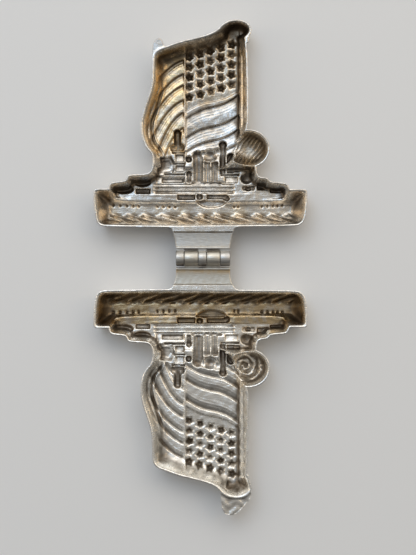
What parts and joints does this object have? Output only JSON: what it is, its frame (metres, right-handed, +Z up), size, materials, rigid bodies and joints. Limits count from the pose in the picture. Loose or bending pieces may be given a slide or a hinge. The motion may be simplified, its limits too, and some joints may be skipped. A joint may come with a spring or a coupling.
{
  "type": "ice cream mold",
  "caption": "Hinged two-part pewter mould that opens flat; its two hollows close round ice cream in the form of a battleship under a waving flag.",
  "frame": {"origin": "middle of the mould's box, on the surface that both castings rest on when the mould lies open flat", "axes": "+X along the ship towards its stern, +Y from the lower half over the hinge to the upper half, +Z up out of the hollows"},
  "size_m": [0.1178, 0.2722, 0.0181],
  "materials": {
    "pewter_casting": "tarnished cast pewter, silvery on the lands and brown in the recesses",
    "hinge_pewter": "worn cast pewter, dull",
    "pin_iron": "dull drawn iron wire",
    "solder": "smooth grey tin solder"
  },
  "bodies": {
    "lower": {"lower_half": "pewter_casting", "lower_hinge_leaf": "hinge_pewter", "lower_solder_seam": "solder"},
    "upper": {"upper_half": "pewter_casting", "upper_hinge_leaf": "hinge_pewter", "upper_solder_seam": "solder", "hinge_pin": "pin_iron"}
  },
  "joints": [
    {"name": "hinge", "type": "hinge", "parent": "lower", "child": "upper", "pos_m": [0.0016, 0.0047, 0.01395], "axis": [1, 0, 0], "range_deg": [-95, 180]}
  ]
}
